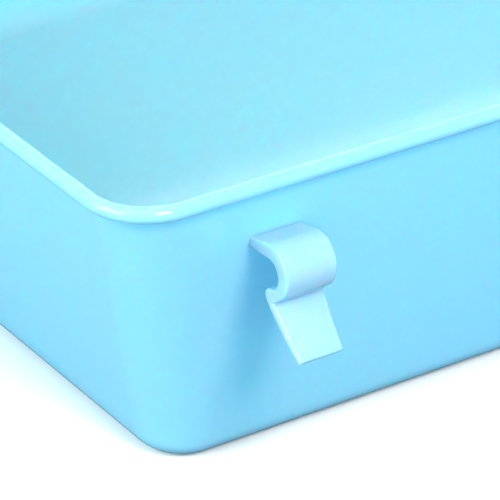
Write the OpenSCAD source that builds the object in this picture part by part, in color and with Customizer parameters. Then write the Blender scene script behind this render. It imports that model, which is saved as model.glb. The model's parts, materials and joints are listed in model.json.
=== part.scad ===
// Open moulded tub with a rolled rim and four hook clips that snap onto a round rail.
// Millimetres, +Z up. The origin is the centre of the underside. The long walls run along X,
// and the front long wall is the one on the -Y side.

/* [Tub] */
// Length between the outer faces of the short walls, at the rim
tub_l = 460; // [380:5:600]
// Width between the outer faces of the long walls, at the rim
tub_w = 300; // [240:5:400]
// Height of the tub over the rim
tub_h = 95; // [85:1:130]
// How far each wall leans inwards from the rim to the base
wall_draft = 26.3; // [8:0.1:32]
// Thickness of the walls and the floor
wall_t = 1.8; // [1.4:0.1:3]
// Outer radius of the upright corners
corner_r = 15; // [12:0.5:30]
// Outer radius of the edge between the walls and the base
base_edge_r = 9.5; // [6:0.5:11]

/* [Rim] */
// Radius of the round bead that is rolled along the rim
bead_r = 2.1; // [1.8:0.1:3]
// How far the middle of the bead stands outside the wall
bead_overhang = 0.75; // [0.5:0.05:1.2]

/* [Clips] */
// Distance from the end of the long wall to the middle of a clip
clip_from_end = 45.5; // [40:0.5:80]
// Width of a clip at its hook
clip_w = 14.8; // [10:0.2:20]
// How much narrower the finger tab is on each side at its tip
tab_taper = 1.2; // [0:0.1:3]
// How far the tab's tip stands outside the rail's axis
tab_reach = 11.9; // [9:0.1:14]
// How far the tab's tip hangs below the rail's axis
tab_drop = 19.6; // [17:0.1:22]
// Radius of the rail that the hook takes
rail_r = 4; // [3.6:0.1:4.2]
// Height of the rail's axis above the base
rail_h = 69.5; // [60:0.5:72]
// Distance of the rail's axis outside the wall's rim line
rail_out = 2.45; // [2:0.05:4]
// Free play between a clip's root and the wall, so that the clip can flex on its root line
root_gap = 0.32; // [0.2:0.02:0.5]

/* [Hidden] */
shell_fn = 32;
round_fn = 96;
tub_colour = [0.58, 0.88, 0.98];
clip_colour = [0.72, 0.94, 1.00];
wall_top = tub_h - bead_r;

// The leaning wall is the tangent from its top edge to the round of the base edge.
edge_run = wall_draft + base_edge_r;
edge_drop = wall_top - base_edge_r;
wall_lean = atan(edge_run / edge_drop) - asin(base_edge_r / norm([edge_run, edge_drop]));
function wall_in(z) = (wall_top - z) * tan(wall_lean);

// Section of a clip. A distance is outwards from the wall's rim line, a height is from the base.
clip_x = tub_l / 2 - clip_from_end;
roof_low = rail_h + rail_r - 0.2;
roof_high = roof_low + 2.6;
hook_r = 7.2;
hook_out = rail_out + 0.55;
hook_h = rail_h + 0.7;
crown = [hook_out - 1.8, hook_h + 6.8];
seat_low = rail_h - 0.85 * rail_r;
nose_r = 1.9;
nose_out = rail_out + 0.35;
nose_h = rail_h - 6;
notch = [rail_out + 1.7, rail_h - 7.6];
tab_tip = [rail_out + tab_reach, rail_h - tab_drop];
tab_tip_t = 1.7;
tab_slope = 52;
tab_along = [sin(tab_slope), -cos(tab_slope)];
tab_across = [cos(tab_slope), sin(tab_slope)];
tab_knee = [rail_out + 3.6, rail_h - 13.8];

// Repeats its children in the four corners of the tub, at the given inset of the corner's centre.
module in_corners(inset) {
    for (sx = [-1, 1])
        for (sy = [-1, 1])
            translate([sx * (tub_l / 2 - inset), sy * (tub_w / 2 - inset), 0])
                children();
}

// Solid of the tub's outer form, drawn in by the thickness t, with its top at top_z.
module drafted_form(t, top_z) {
    hull() {
        in_corners(corner_r + wall_in(top_z))
            translate([0, 0, top_z - 0.01])
                cylinder(r = corner_r - t, h = 0.01, $fn = shell_fn);
        in_corners(corner_r + wall_draft)
            translate([0, 0, base_edge_r])
                rotate_extrude($fn = shell_fn)
                    intersection() {
                        translate([corner_r - base_edge_r, 0])
                            circle(r = base_edge_r - t, $fn = shell_fn);
                        translate([0, -corner_r])
                            square([corner_r, corner_r]);
                    }
    }
}

// Quarter of the rim's bead around one corner, from the +X side to the +Y side.
module bead_corner() {
    rotate_extrude(angle = 90, $fn = round_fn)
        translate([corner_r + bead_overhang, 0])
            circle(r = bead_r, $fn = round_fn);
}

module bead() {
    run_x = tub_l - 2 * corner_r;
    run_y = tub_w - 2 * corner_r;
    for (side = [0, 1])
        rotate([0, 0, 180 * side]) {
            translate([-run_x / 2, -tub_w / 2 - bead_overhang, 0])
                rotate([0, 90, 0])
                    cylinder(r = bead_r, h = run_x, $fn = round_fn);
            translate([tub_l / 2 + bead_overhang, run_y / 2, 0])
                rotate([90, 0, 0])
                    cylinder(r = bead_r, h = run_y, $fn = round_fn);
            translate([run_x / 2, run_y / 2, 0])
                bead_corner();
            translate([-run_x / 2, run_y / 2, 0])
                rotate([0, 0, 90])
                    bead_corner();
        }
}

module tub() {
    color(tub_colour)
        union() {
            difference() {
                drafted_form(0, wall_top);
                drafted_form(wall_t, wall_top + bead_r);
            }
            translate([0, 0, wall_top])
                bead();
        }
}

// Bar along X with a round section, in the clip's own frame: X along the wall, Y outwards.
module clip_round(r, out, h, w = clip_w) {
    translate([-w / 2, out, h])
        rotate([0, 90, 0])
            cylinder(r = r, h = w, $fn = round_fn);
}

// Bar along X whose section is the polygon of [outwards, height] points.
module clip_bar(points) {
    translate([-clip_w / 2, 0, 0])
        rotate([90, 0, 90])
            linear_extrude(height = clip_w)
                polygon(points);
}

// Roof that rises a little from the wall, and the hook that curls down around the rail.
module hook() {
    lip_low = nose_h - 2 * nose_r;
    difference() {
        union() {
            clip_bar([
                [root_gap - wall_in(roof_low), roof_low],
                [hook_out, roof_low],
                crown,
                [root_gap - wall_in(roof_high), roof_high],
            ]);
            clip_round(hook_r, hook_out, hook_h);
        }
        clip_round(rail_r, rail_out, rail_h, 2 * clip_w);
        translate([-clip_w, rail_out - 2 * clip_w, seat_low])
            cube([2 * clip_w, 2 * clip_w, roof_low - seat_low]);
        translate([-clip_w, nose_out - 0.9 - 2 * clip_w, lip_low])
            cube([2 * clip_w, 2 * clip_w, roof_low - lip_low]);
    }
}

// Rounded nose that keeps the rail in, and the finger tab that flares out below it.
module nose_and_tab() {
    clip_round(nose_r, nose_out, nose_h);
    clip_bar([
        [nose_out - 0.6 * nose_r, nose_h],
        tab_knee,
        tab_tip - tab_tip_t / 2 * tab_across,
        tab_tip + tab_tip_t / 4 * tab_along,
        tab_tip + tab_tip_t / 2 * tab_across,
        notch,
        [nose_out + 0.6 * nose_r, nose_h + 0.6 * nose_r],
    ]);
}

// Block that trims the sides of the tab so that it narrows towards its tip.
module tab_trim() {
    half_w = clip_w / 2;
    tip_h = tab_tip[1] - tab_tip_t;
    top_h = nose_h + nose_r;
    translate([0, 2 * clip_w, 0])
        rotate([90, 0, 0])
            linear_extrude(height = 3 * clip_w)
                polygon([
                    [-half_w, top_h],
                    [-half_w, notch[1]],
                    [tab_taper - half_w, tip_h],
                    [half_w - tab_taper, tip_h],
                    [half_w, notch[1]],
                    [half_w, top_h],
                ]);
}

// One clip on the wall that faces +Y, centred on X = 0.
module clip() {
    color(clip_colour)
        translate([0, tub_w / 2, 0])
            union() {
                hook();
                intersection() {
                    nose_and_tab();
                    tab_trim();
                }
            }
}

module clip_front_left() {
    translate([-clip_x, 0, 0])
        rotate([0, 0, 180])
            clip();
}

module clip_front_right() {
    translate([clip_x, 0, 0])
        rotate([0, 0, 180])
            clip();
}

module clip_back_left() {
    translate([-clip_x, 0, 0])
        clip();
}

module clip_back_right() {
    translate([clip_x, 0, 0])
        clip();
}

tub();
clip_front_left();
clip_front_right();
clip_back_left();
clip_back_right();
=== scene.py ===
"""Looks of the open moulded tub with its rail clips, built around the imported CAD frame. Metres, +Z up."""

import json
import math

import bpy
from mathutils import Matrix, Vector


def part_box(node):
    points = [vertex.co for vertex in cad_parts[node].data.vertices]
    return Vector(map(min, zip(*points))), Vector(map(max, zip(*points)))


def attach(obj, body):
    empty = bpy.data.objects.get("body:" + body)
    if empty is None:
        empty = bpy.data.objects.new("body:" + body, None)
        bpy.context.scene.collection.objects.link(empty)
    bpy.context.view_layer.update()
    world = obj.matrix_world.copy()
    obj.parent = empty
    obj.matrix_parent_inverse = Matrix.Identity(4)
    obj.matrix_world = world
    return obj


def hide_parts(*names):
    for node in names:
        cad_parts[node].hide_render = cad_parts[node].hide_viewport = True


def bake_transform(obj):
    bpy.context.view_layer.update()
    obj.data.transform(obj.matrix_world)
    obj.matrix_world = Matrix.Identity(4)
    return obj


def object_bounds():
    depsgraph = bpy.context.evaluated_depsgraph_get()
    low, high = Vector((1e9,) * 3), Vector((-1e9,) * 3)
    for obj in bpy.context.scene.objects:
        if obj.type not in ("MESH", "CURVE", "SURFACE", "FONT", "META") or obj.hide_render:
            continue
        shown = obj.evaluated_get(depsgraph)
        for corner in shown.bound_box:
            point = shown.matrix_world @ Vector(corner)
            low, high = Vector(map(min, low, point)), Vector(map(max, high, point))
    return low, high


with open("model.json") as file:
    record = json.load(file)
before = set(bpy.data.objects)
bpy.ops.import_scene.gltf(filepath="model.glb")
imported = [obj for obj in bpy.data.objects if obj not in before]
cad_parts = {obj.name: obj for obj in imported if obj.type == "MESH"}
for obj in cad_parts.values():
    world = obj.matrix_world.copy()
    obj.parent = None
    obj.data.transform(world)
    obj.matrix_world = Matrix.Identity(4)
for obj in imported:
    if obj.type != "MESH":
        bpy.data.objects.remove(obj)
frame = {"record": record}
cad_low, cad_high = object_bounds()

# ---------------------------------------------------------------- sizes
MM = 0.001
BEAD_R = 2.1 * MM
BEAD_OVERHANG = 0.75 * MM
CORNER_R = 15 * MM
WALL_T = 1.8 * MM
WALL_DRAFT = 26.3 * MM
BASE_EDGE_R = 9.5 * MM
FLAT_EDGE = 2 * MM
CORNER_STEPS = 20
EDGE_STEPS = 12
BEAD_STEPS = 34

tub_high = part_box("tub")[1]
RIM_X = tub_high.x - BEAD_R - BEAD_OVERHANG
RIM_Y = tub_high.y - BEAD_R - BEAD_OVERHANG
WALL_TOP = tub_high.z - BEAD_R

edge_run = WALL_DRAFT + BASE_EDGE_R
edge_drop = WALL_TOP - BASE_EDGE_R
WALL_LEAN = math.atan2(edge_run, edge_drop) - math.asin(BASE_EDGE_R / math.hypot(edge_run, edge_drop))


def wall_in(z):
    """How far the outer face of a wall stands inside the rim line at height z."""
    return (WALL_TOP - z) * math.tan(WALL_LEAN)


def arc(start_deg, end_deg, steps):
    """Angles in radians from start to end, both included."""
    return [math.radians(start_deg + (end_deg - start_deg) * i / steps) for i in range(steps + 1)]


# ---------------------------------------------------------------- meshes
def new_piece(name, points, faces, sharp_deg=50):
    """Mesh object with smooth shading and sharp edges where faces meet at more than sharp_deg."""
    mesh = bpy.data.meshes.new(name)
    mesh.from_pydata([tuple(p) for p in points], [], faces)
    mesh.validate()
    mesh.update()
    mesh.polygons.foreach_set("use_smooth", [True] * len(mesh.polygons))
    mesh.set_sharp_from_angle(angle=math.radians(sharp_deg))
    piece = bpy.data.objects.new(name, mesh)
    bpy.context.scene.collection.objects.link(piece)
    return piece


def rim_ring(centre_in, radius, z):
    """Closed ring of points round the tub: four arcs whose centres stand centre_in inside the rim line.

    A point just beyond each end of an arc keeps the long faces beside it flat when they are shaded.
    """
    ring = []
    for quarter, (sx, sy) in enumerate([(1, 1), (-1, 1), (-1, -1), (1, -1)]):
        centre = Vector((sx * (RIM_X - centre_in), sy * (RIM_Y - centre_in), z))
        angles = arc(90 * quarter, 90 * quarter + 90, CORNER_STEPS)
        bend = [centre + radius * Vector((math.cos(a), math.sin(a), 0)) for a in angles]
        onward = Vector((-math.sin(angles[-1]), math.cos(angles[-1]), 0))
        back = Vector((math.sin(angles[0]), -math.cos(angles[0]), 0))
        ring += [bend[0] + back * FLAT_EDGE] + bend + [bend[-1] + onward * FLAT_EDGE]
    return ring


def tub_section():
    """Section of the tub from the middle of the underside, over the rim, to the middle of the floor.

    Each entry is (corner centre's inset, corner radius, height).
    """
    low_centre = WALL_DRAFT + CORNER_R
    edge_path = CORNER_R - BASE_EDGE_R
    lean_deg = math.degrees(WALL_LEAN)
    inner_edge_r = BASE_EDGE_R - WALL_T
    section = [(low_centre, edge_path - FLAT_EDGE, 0)]
    for a in arc(90, lean_deg, EDGE_STEPS):
        section.append((low_centre, edge_path + BASE_EDGE_R * math.cos(a), BASE_EDGE_R * (1 - math.sin(a))))
    wall_low = section[-1][2]
    crease = WALL_TOP - 1.75 * MM
    for i in (0.3, 1, 2, 3, 4, 5, 6, 7, 7.8, 8):
        z = wall_low + (crease - wall_low) * i / 8
        section.append((CORNER_R + wall_in(z), CORNER_R, z))
    for a in arc(-62, -330, BEAD_STEPS):
        inset = -BEAD_OVERHANG + BEAD_R * math.cos(a)
        section.append((CORNER_R, CORNER_R - inset, WALL_TOP + BEAD_R * math.sin(a)))
    for blend, drop in ((0.45, 0.3), (0.8, 1.0), (0.95, 1.9), (1.0, 3.0)):
        z = WALL_TOP + BEAD_R * math.sin(math.radians(30)) - drop * MM
        from_bead = BEAD_R * math.cos(math.radians(30)) - BEAD_OVERHANG
        inset = from_bead + (WALL_T + wall_in(z) - from_bead) * blend
        section.append((CORNER_R, CORNER_R - inset, z))
    top_z = section[-1][2]
    inner_low = BASE_EDGE_R - inner_edge_r * math.sin(WALL_LEAN)
    for i in (0.3, 1, 2, 3, 4, 5, 6, 7, 7.7):
        z = top_z + (inner_low - top_z) * i / 8
        section.append((CORNER_R + wall_in(z), CORNER_R - WALL_T, z))
    for a in arc(lean_deg, 90, EDGE_STEPS):
        z = BASE_EDGE_R - inner_edge_r * math.sin(a)
        section.append((low_centre, edge_path + inner_edge_r * math.cos(a), z))
    section.append((low_centre, edge_path - FLAT_EDGE, WALL_T))
    return section


def make_tub():
    """The tub's shell: rings round the tub joined to each other, closed by the underside and the floor."""
    rings = [rim_ring(*entry) for entry in tub_section()]
    count = len(rings[0])
    points = [p for ring in rings for p in ring]
    faces = []
    for i in range(len(rings) - 1):
        for j in range(count):
            k = (j + 1) % count
            faces.append((i * count + j, i * count + k, (i + 1) * count + k, (i + 1) * count + j))
    faces.append(tuple(reversed(range(count))))
    faces.append(tuple(range((len(rings) - 1) * count, len(rings) * count)))
    return new_piece("tub_shell", points, faces)


# Section of a clip, in millimetres: outwards from the rail's axis, and up from it.
HOOK_R = 7.2
HOOK_MID = (0.55, 0.7)
SEAT_R = 4.0
ROOF_LOW = 3.8
ROOT_HIGH = 6.4
CROWN_DEG = 102
NOSE = (0.35, -6.0)
NOSE_R = 1.9
NOTCH = (1.9, -7.35)
KNEE = (3.4, -13.6)
TAB_TIP = (11.85, -19.6)
TAB_TIP_T = 1.6
TAB_SLOPE = math.radians(52)
CLIP_HALF_W = 7.4
TAB_TAPER = 1.2
TIP_ROUND = 0.2
TAB_CROWN = 0.22
CLIP_CROWN = 0.06
FLASH = 0.07
EDGE_ROUND = 0.45

# Scattering that a clip keeps inside the wall, and the distance from the wall where it is whole again.
CLEAR_OF_WALL = "clear_of_wall"
BURIED_SHARE = 0.35
CLEAR_AT = 3.5


def curve(p0, p1, p2, steps):
    """Points of a quadratic curve from p0 to p2, the first one left out."""
    out = []
    for i in range(1, steps + 1):
        t = i / steps
        out.append(tuple((1 - t) ** 2 * a + 2 * t * (1 - t) * b + t * t * c for a, b, c in zip(p0, p1, p2)))
    return out


def polar(middle, radius, angle):
    """Point at an angle on a circle."""
    return (middle[0] + radius * math.cos(angle), middle[1] + radius * math.sin(angle))


def clip_pairs(wall_out):
    """Pairs of (inner, outer) points along the clip from inside the wall to the tab's tip.

    wall_out gives the wall's surface at a height.
    """
    crown = polar(HOOK_MID, HOOK_R, math.radians(CROWN_DEG))
    outer_start = (wall_out(ROOT_HIGH) - 0.9, ROOT_HIGH - 0.2)
    inner_start = (wall_out(ROOF_LOW) - 0.9, ROOF_LOW)
    inner_end = (SEAT_R * math.cos(math.radians(101)), ROOF_LOW)
    pairs = []
    for i in range(9):
        t = i / 9
        pairs.append((
            tuple(a + (b - a) * t for a, b in zip(inner_start, inner_end)),
            tuple(a + (b - a) * t for a, b in zip(outer_start, crown)),
        ))
    for seat_at, hook_at in zip(arc(101, -72, 30), arc(CROWN_DEG, -66, 30)):
        pairs.append((polar((0, 0), SEAT_R, seat_at), polar(HOOK_MID, HOOK_R, hook_at)))
    nose = [polar(NOSE, NOSE_R, a) for a in arc(95, 220, 14)]
    lip = curve(pairs[-1][1], (3.1, -6.9), NOTCH, 14)
    pairs += list(zip(nose[1:], lip))
    across = (math.cos(TAB_SLOPE), math.sin(TAB_SLOPE))
    low = (TAB_TIP[0] - TAB_TIP_T / 2 * across[0], TAB_TIP[1] - TAB_TIP_T / 2 * across[1])
    high = (TAB_TIP[0] + TAB_TIP_T / 2 * across[0], TAB_TIP[1] + TAB_TIP_T / 2 * across[1])
    under = curve(nose[-1], KNEE, low, 16)
    over = curve(NOTCH, (3.3, -9.6), high, 16)
    pairs += list(zip(under, over))
    for a in arc(72, 18, 3):
        push = TIP_ROUND * math.cos(a)
        middle = (TAB_TIP[0] + push * across[1], TAB_TIP[1] - push * across[0])
        half = TAB_TIP_T / 2 * math.sin(a)
        pairs.append((
            (middle[0] - half * across[0], middle[1] - half * across[1]),
            (middle[0] + half * across[0], middle[1] + half * across[1]),
        ))
    return pairs


def smooth(t):
    """Eased step from 0 to 1 as t goes from 0 to 1."""
    t = max(0.0, min(1.0, t))
    return t * t * (3 - 2 * t)


def wave(a, seed):
    """Slow uneven wave between about -1 and 1, for hand-trimmed moulding flash."""
    slow = 0.5 * math.sin(2.1 * a + seed)
    quick = 0.3 * math.sin(5.3 * a + 2 * seed)
    fine = 0.2 * math.sin(11.7 * a + 3 * seed)
    return slow + quick + fine


def clip_stations():
    """Stations across a clip: (share of the half width, inset of the skin, cut from the end)."""
    stations = []
    for a in arc(0, 90, 4):
        stations.append((1, EDGE_ROUND * (1 - math.sin(a)), EDGE_ROUND * (1 - math.cos(a))))
    stations.append((1, 0, 0.9))
    stations.append((1, 0, 1.6))
    stations += [(t, 0, 0) for t in (0.7, 0.6, 0.5, 0.4, 0.2, 0)]
    return [(-t, p, w) for t, p, w in stations] + list(reversed(stations[:-1]))


def clip_faces(n, last):
    """Faces of a clip with n pairs of points at each of its stations, which run from 0 to last."""

    def at(s, i, k):
        return (s * n + i) * 2 + k

    faces = []
    for s in range(last):
        for i in range(n - 1):
            faces.append((at(s, i, 0), at(s, i + 1, 0), at(s + 1, i + 1, 0), at(s + 1, i, 0)))
            faces.append((at(s + 1, i, 1), at(s + 1, i + 1, 1), at(s, i + 1, 1), at(s, i, 1)))
        faces.append((at(s, n - 1, 0), at(s, n - 1, 1), at(s + 1, n - 1, 1), at(s + 1, n - 1, 0)))
        faces.append((at(s, 0, 1), at(s, 0, 0), at(s + 1, 0, 0), at(s + 1, 0, 1)))
    for i in range(n - 1):
        faces.append((at(0, i, 0), at(0, i, 1), at(0, i + 1, 1), at(0, i + 1, 0)))
        faces.append((at(last, i, 0), at(last, i + 1, 0), at(last, i + 1, 1), at(last, i, 1)))
    return faces


def make_clip(name, seat, side, seed):
    """One clip. seat is the middle of the rail's seat; side is -1 on the front wall and 1 on the back."""

    def wall_out(up):
        return -(abs(seat.y) - RIM_Y + wall_in(seat.z + up * MM)) / MM

    pairs = clip_pairs(wall_out)
    stations = clip_stations()
    points = []
    clear_of_wall = []
    for x_at, pull, short in stations:
        for i, (inner, outer) in enumerate(pairs):
            thick = math.dist(inner, outer)
            along = (outer[0] - inner[0]) / thick, (outer[1] - inner[1]) / thick
            on_tab = smooth((NOTCH[1] + 0.5 - outer[1]) / 4) * smooth((outer[1] - TAB_TIP[1] - 1.2) / 1.2)
            off_wall = outer[0] - wall_out(outer[1])
            on_clip = smooth((off_wall - 1) / 4)
            taper = TAB_TAPER * max(0.0, min(1.0, (NOTCH[1] - outer[1]) / (NOTCH[1] - TAB_TIP[1])))
            edge = 1 if abs(x_at) == 1 else 0
            rim = smooth((abs(x_at) * (CLIP_HALF_W - short) - 3.2) / 3.2)
            half = CLIP_HALF_W - taper
            flash = FLASH * wave(i * 0.35, seed + (3 if x_at > 0 else 0)) * edge * on_clip
            x = x_at * (half - short + flash) if edge else x_at * half
            for k, (p, sign) in enumerate(((inner, 1), (outer, -1))):
                move = sign * min(pull, thick * 0.4)
                if k == 1:
                    move += (TAB_CROWN * on_tab + CLIP_CROWN * on_clip) * (1 - rim)
                out = p[0] + along[0] * move
                up = p[1] + along[1] * move
                points.append(Vector((side * x * MM, side * out * MM, up * MM)))
                clear = smooth((out - wall_out(up)) / CLEAR_AT)
                clear_of_wall.append(BURIED_SHARE + (1 - BURIED_SHARE) * clear)
    faces = clip_faces(len(pairs), len(stations) - 1)
    piece = new_piece(name, [p + seat for p in points], faces, sharp_deg=65)
    layer = piece.data.attributes.new(CLEAR_OF_WALL, "FLOAT", "POINT")
    layer.data.foreach_set("value", clear_of_wall)
    return piece


# ---------------------------------------------------------------- materials
def plastic(name, colour, deep, roughness, scatter):
    """Translucent moulded plastic with a fine skin, soft colour drift and faint rub marks."""
    material = bpy.data.materials.new(name)
    material.use_nodes = True
    nodes = material.node_tree.nodes
    links = material.node_tree.links
    shader = nodes["Principled BSDF"]
    shader.inputs["IOR"].default_value = 1.49
    shader.inputs["Subsurface Weight"].default_value = 1.0
    shader.inputs["Subsurface Radius"].default_value = (0.08, 0.7, 1.0)
    shader.inputs["Subsurface Scale"].default_value = scatter
    place = nodes.new("ShaderNodeTexCoord")

    drift = nodes.new("ShaderNodeTexNoise")
    drift.inputs["Scale"].default_value = 9
    drift.inputs["Detail"].default_value = 3
    links.new(place.outputs["Object"], drift.inputs["Vector"])
    tint = nodes.new("ShaderNodeMixRGB")
    tint.inputs[1].default_value = (*deep, 1)
    tint.inputs[2].default_value = (*colour, 1)
    links.new(drift.outputs["Fac"], tint.inputs[0])
    links.new(tint.outputs[0], shader.inputs["Base Color"])

    grain = nodes.new("ShaderNodeTexNoise")
    grain.inputs["Scale"].default_value = 1400
    grain.inputs["Detail"].default_value = 2
    links.new(place.outputs["Object"], grain.inputs["Vector"])
    ripple = nodes.new("ShaderNodeTexNoise")
    ripple.inputs["Scale"].default_value = 45
    ripple.inputs["Detail"].default_value = 2
    links.new(place.outputs["Object"], ripple.inputs["Vector"])
    grain_bump = nodes.new("ShaderNodeBump")
    grain_bump.inputs["Strength"].default_value = 0.08
    grain_bump.inputs["Distance"].default_value = 0.05 * MM
    links.new(grain.outputs["Fac"], grain_bump.inputs["Height"])
    ripple_bump = nodes.new("ShaderNodeBump")
    ripple_bump.inputs["Strength"].default_value = 0.25
    ripple_bump.inputs["Distance"].default_value = 0.12 * MM
    links.new(ripple.outputs["Fac"], ripple_bump.inputs["Height"])
    links.new(grain_bump.outputs["Normal"], ripple_bump.inputs["Normal"])
    links.new(ripple_bump.outputs["Normal"], shader.inputs["Normal"])

    rub = nodes.new("ShaderNodeTexNoise")
    rub.inputs["Scale"].default_value = 22
    rub.inputs["Detail"].default_value = 3
    links.new(place.outputs["Object"], rub.inputs["Vector"])
    rough = nodes.new("ShaderNodeMapRange")
    rough.inputs["To Min"].default_value = roughness - 0.02
    rough.inputs["To Max"].default_value = roughness + 0.02
    links.new(rub.outputs["Fac"], rough.inputs["Value"])
    links.new(rough.outputs["Result"], shader.inputs["Roughness"])
    return material


# ---------------------------------------------------------------- pieces
tub_plastic = plastic("tub_plastic", (0.30, 0.59, 0.82), (0.285, 0.58, 0.81), 0.1, 9 * MM)
clip_plastic = plastic("clip_plastic", (0.35, 0.56, 0.73), (0.33, 0.55, 0.72), 0.24, 6 * MM)
depth = clip_plastic.node_tree.nodes.new("ShaderNodeAttribute")
depth.attribute_name = CLEAR_OF_WALL
clip_plastic.node_tree.links.new(
    depth.outputs["Fac"], clip_plastic.node_tree.nodes["Principled BSDF"].inputs["Subsurface Weight"]
)

tub_piece = make_tub()
tub_piece.data.materials.append(tub_plastic)
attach(tub_piece, "tub")
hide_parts("tub")

clamps = [m for m in frame["record"]["mounts"] if m["kind"] == "clamp"]
seats = {m["name"].replace("rail_", ""): Vector(m["pos_m"]) for m in clamps}

for seed, (clip_name, seat) in enumerate(sorted(seats.items())):
    side = 1 if seat.y > 0 else -1
    clip = make_clip(clip_name + "_shape", seat, side, seed)
    clip.data.materials.append(clip_plastic)
    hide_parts(clip_name)
    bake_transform(clip)


# ---------------------------------------------------------------- stage, light and camera
def add_floor():
    """Pale floor that gives less light back to the object than it shows."""
    reach = 6
    corners = [(x * reach, y * reach, 0) for x, y in ((-1, -1), (1, -1), (1, 1), (-1, 1))]
    mesh = bpy.data.meshes.new("floor")
    mesh.from_pydata(corners, [], [(0, 1, 2, 3)])
    floor = bpy.data.objects.new("floor", mesh)
    floor.location.z = cad_low.z - 0.05 * MM
    bpy.context.scene.collection.objects.link(floor)
    material = bpy.data.materials.new("studio_floor")
    material.use_nodes = True
    nodes = material.node_tree.nodes
    shader = nodes["Principled BSDF"]
    shader.inputs["Roughness"].default_value = 0.9
    shader.inputs["Specular IOR Level"].default_value = 0.1
    bounce = nodes.new("ShaderNodeLightPath")
    either = nodes.new("ShaderNodeMath")
    either.operation = "MAXIMUM"
    material.node_tree.links.new(bounce.outputs["Is Diffuse Ray"], either.inputs[0])
    material.node_tree.links.new(bounce.outputs["Is Glossy Ray"], either.inputs[1])
    shade = nodes.new("ShaderNodeMixRGB")
    shade.inputs[1].default_value = (0.95, 0.95, 0.95, 1)
    shade.inputs[2].default_value = (0.2, 0.2, 0.2, 1)
    material.node_tree.links.new(either.outputs[0], shade.inputs[0])
    material.node_tree.links.new(shade.outputs[0], shader.inputs["Base Color"])
    mesh.materials.append(material)


def add_light(name, place, target, size, power, colour=(1, 1, 1)):
    """Square soft light that faces target; the camera doesn't see the lamp itself."""
    light = bpy.data.lights.new(name, "AREA")
    light.shape = "SQUARE"
    light.size = size
    light.energy = power
    light.color = colour
    lamp = bpy.data.objects.new(name, light)
    lamp.location = place
    lamp.rotation_euler = (Vector(target) - Vector(place)).to_track_quat("-Z", "Y").to_euler()
    lamp.visible_camera = False
    bpy.context.scene.collection.objects.link(lamp)


def add_camera():
    """Long lens that looks at the front wall beside the front left clip."""
    azimuth = math.radians(-33.799)
    elevation = math.radians(28.978)
    roll = math.radians(0.297)
    distance = 0.9257
    target = Vector((-RIM_X + 44.2 * MM, -RIM_Y + 14.6 * MM, 66.3 * MM))
    back = Vector((
        math.sin(azimuth) * math.cos(elevation),
        -math.cos(azimuth) * math.cos(elevation),
        math.sin(elevation),
    ))
    right = Vector((math.cos(azimuth), math.sin(azimuth), 0))
    up = back.cross(right)
    turn = Matrix.Rotation(roll, 3, back)
    right = turn @ right
    up = turn @ up
    camera_data = bpy.data.cameras.new("camera")
    camera_data.sensor_width = 36
    camera_data.lens = 273.6
    camera_data.clip_start = 0.05
    camera_data.clip_end = 50
    camera = bpy.data.objects.new("camera", camera_data)
    bpy.context.scene.collection.objects.link(camera)
    camera.matrix_world = Matrix((
        (right.x, up.x, back.x, target.x + back.x * distance),
        (right.y, up.y, back.y, target.y + back.y * distance),
        (right.z, up.z, back.z, target.z + back.z * distance),
        (0, 0, 0, 1),
    ))
    bpy.context.scene.camera = camera


add_floor()
middle = (0, 0, 0.05)
add_light("key", (-0.305, -1.56, 1.36), (-0.15, -0.1, 0.05), 0.6, 35, (1, 0.83, 0.8))
add_light("front_fill", (-0.5, -1.7, 0.4), (-0.1, -0.1, 0.05), 1.0, 6, (1, 0.78, 0.74))
add_light("left_fill", (-1.7, -0.05, 0.8), middle, 1.2, 33)
add_light("backdrop_glow", (1.3, 1.8, 1.25), middle, 1.8, 19, (0.85, 0.93, 1))
add_light("top_fill", (-0.4, -0.75, 1.6), (-0.1, -0.1, 0.05), 1.0, 5, (0.85, 0.95, 1))
add_camera()

world = bpy.data.worlds.new("studio")
world.use_nodes = True
world_nodes = world.node_tree.nodes
world_links = world.node_tree.links
world_nodes["Background"].inputs["Color"].default_value = (0.36, 0.93, 1, 1)
sky_way = world_nodes.new("ShaderNodeTexCoord")
sky_parts = world_nodes.new("ShaderNodeSeparateXYZ")
sky_level = world_nodes.new("ShaderNodeMapRange")
sky_level.inputs["From Min"].default_value = 0.35
sky_level.inputs["From Max"].default_value = 0.95
sky_level.inputs["To Min"].default_value = 1.25
sky_level.inputs["To Max"].default_value = 0.34
world_links.new(sky_way.outputs["Generated"], sky_parts.inputs[0])
world_links.new(sky_parts.outputs["Z"], sky_level.inputs["Value"])
world_links.new(sky_level.outputs["Result"], world_nodes["Background"].inputs["Strength"])
bpy.context.scene.world = world
bpy.context.scene.view_settings.view_transform = "Standard"
